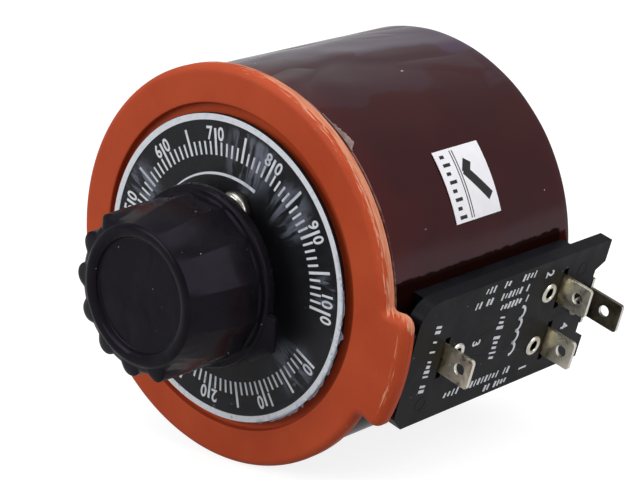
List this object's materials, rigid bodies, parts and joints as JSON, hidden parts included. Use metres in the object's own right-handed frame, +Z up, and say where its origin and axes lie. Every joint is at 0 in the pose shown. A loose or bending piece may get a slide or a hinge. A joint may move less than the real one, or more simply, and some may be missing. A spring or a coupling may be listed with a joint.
{
  "type": "variable autotransformer",
  "caption": "Panel-mount variable autotransformer: wrapped toroid behind an orange ring with a numbered dial, lobed knob, rear brush gear and a side board of blade terminals.",
  "frame": {"origin": "on the shaft axis, in the plane of the front ring's face", "axes": "+Y along the shaft from the knob to the brush gear, +Z up as the picture shows it, +X towards the terminal board"},
  "size_m": [0.0917, 0.0987, 0.0806],
  "materials": {
    "orange_moulding": "moulded thermoset, scuffed edges",
    "dial": "black with white marks",
    "clear_film": "clear protective film",
    "knob_plastic": "glossy black",
    "maroon_film": "glossy wrapped film",
    "board_plastic": "satin black",
    "tinned": "dull tinned brass",
    "nickel": "nickel plated",
    "steel": "turned",
    "brass": "turned",
    "bronze": "rolled spring strip",
    "copper": "enamelled wire",
    "core_steel": "wound strip",
    "case_plastic": "moulded",
    "fibre": "pressed insulating board",
    "arm_aluminium": "stamped",
    "carbon": "pressed carbon"
  },
  "bodies": {
    "frame": {"base_moulding": "orange_moulding", "screw_inserts": "brass", "dial_plate": "dial", "dial_film": "clear_film", "dial_screws": "nickel", "front_bush": "brass", "rear_bush": "brass", "core": "core_steel", "core_case_front": "case_plastic", "core_case_rear": "case_plastic", "core_seat": "fibre", "bore_liner": "fibre", "winding": "copper", "wrap": "maroon_film", "clamp_plate": "fibre", "clamp_screws": "nickel", "collector": "brass", "stop_pin": "steel", "terminal_board": "board_plastic", "terminal_1": "tinned", "terminal_2": "tinned", "terminal_3": "tinned", "terminal_4": "tinned", "eyelets": "nickel", "tap_leads": "copper"},
    "rotor": {"shaft": "steel", "retaining_clip": "steel", "knob": "knob_plastic", "knob_insert": "brass", "knob_grub_screw": "steel", "brush_arm": "arm_aluminium", "arm_hub": "brass", "hub_grub_screw": "steel", "brush_holder": "brass", "carbon_brush": "carbon", "brush_spring": "bronze", "collector_finger": "bronze", "arm_rivets": "nickel"}
  },
  "joints": [
    {"name": "knob_turn", "type": "hinge", "parent": "frame", "child": "rotor", "pos_m": [0, 0, 0], "axis": [0, 1, 0], "range_deg": [0, 335]}
  ]
}
